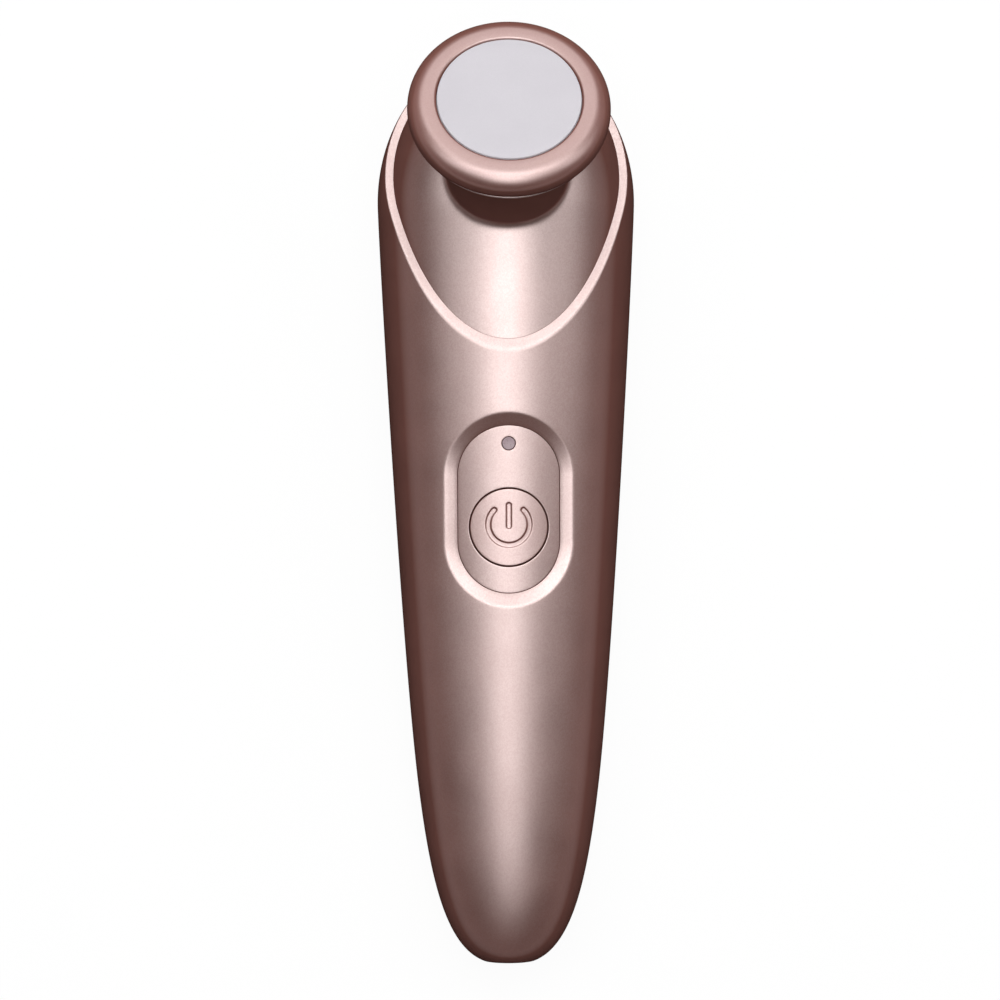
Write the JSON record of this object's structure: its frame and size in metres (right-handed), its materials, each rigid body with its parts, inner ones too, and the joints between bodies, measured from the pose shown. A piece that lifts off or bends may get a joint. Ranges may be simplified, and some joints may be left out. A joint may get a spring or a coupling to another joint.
{
  "type": "plasma facial device",
  "caption": "Handheld facial wand with a tilted round ceramic head on a neck, a tapered grip, a recessed pill panel with a press button and a light dot, and a tail socket.",
  "frame": {"origin": "on the flat rest land at the back of the body, on the centre line, under the control panel", "axes": "+Y along the body towards the head, +Z out of the front face that carries the button, +X to the right seen from the front"},
  "size_m": [0.0458, 0.1664, 0.0597],
  "materials": {
    "shell_paint": "rose gold pearl paint on moulded plastic",
    "cover_paint": "rose gold pearl paint on moulded plastic",
    "ring_paint": "rose gold pearl paint on moulded plastic",
    "panel_paint": "rose gold pearl paint on moulded plastic",
    "button_paint": "satin rose gold paint",
    "ceramic_face": "matt ground ceramic",
    "silicone": "moulded silicone",
    "contact_brass": "bare brass",
    "spring_steel": "drawn spring wire",
    "insulator": "moulded insulating plastic",
    "potting": "black cast resin block",
    "wire_sleeve": "soft wire insulation",
    "light_window": "smoked translucent plastic",
    "led_body": "clear resin",
    "black_plastic": "moulded black plastic",
    "circuit_board": "green solder mask",
    "cell_can": "blue shrink sleeve on a metal can",
    "foam": "closed cell foam",
    "socket_steel": "plated sheet steel",
    "screw_steel": "zinc plated steel"
  },
  "bodies": {
    "housing": {"front_shell": "shell_paint", "rear_shell": "shell_paint", "neck_cover": "cover_paint", "head_cup": "cover_paint", "head_ring": "ring_paint", "plasma_disc": "ceramic_face", "disc_gasket": "silicone", "electrode_plate": "contact_brass", "electrode_spring": "spring_steel", "electrode_carrier": "insulator", "hv_terminal": "contact_brass", "hv_module": "potting", "hv_lead": "wire_sleeve", "control_panel": "panel_paint", "light_pipe": "light_window", "indicator_led": "led_body", "tact_switch": "black_plastic", "main_board": "circuit_board", "board_chips": "black_plastic", "module_leads": "wire_sleeve", "battery_cell": "cell_can", "battery_pads": "foam", "battery_leads": "wire_sleeve", "charge_board": "circuit_board", "charging_socket": "socket_steel", "charge_leads": "wire_sleeve", "case_screws": "screw_steel", "screw_plugs": "shell_paint", "board_screws": "screw_steel", "cup_screws": "screw_steel", "carrier_screws": "screw_steel"},
    "button": {"power_button": "button_paint"},
    "plunger": {"switch_plunger": "black_plastic"}
  },
  "joints": [
    {"name": "button_press", "type": "slide", "parent": "housing", "child": "button", "axis": [0, 0.0767, -0.9971], "range_m": [0, 0.00035], "stiffness_N_per_m": 800},
    {"name": "plunger_press", "type": "slide", "parent": "housing", "child": "plunger", "axis": [0, 0.0767, -0.9971], "range_m": [0, 0.00035]}
  ],
  "couplings": [
    {"joint": "plunger_press", "follows": "button_press", "ratio": 1}
  ]
}
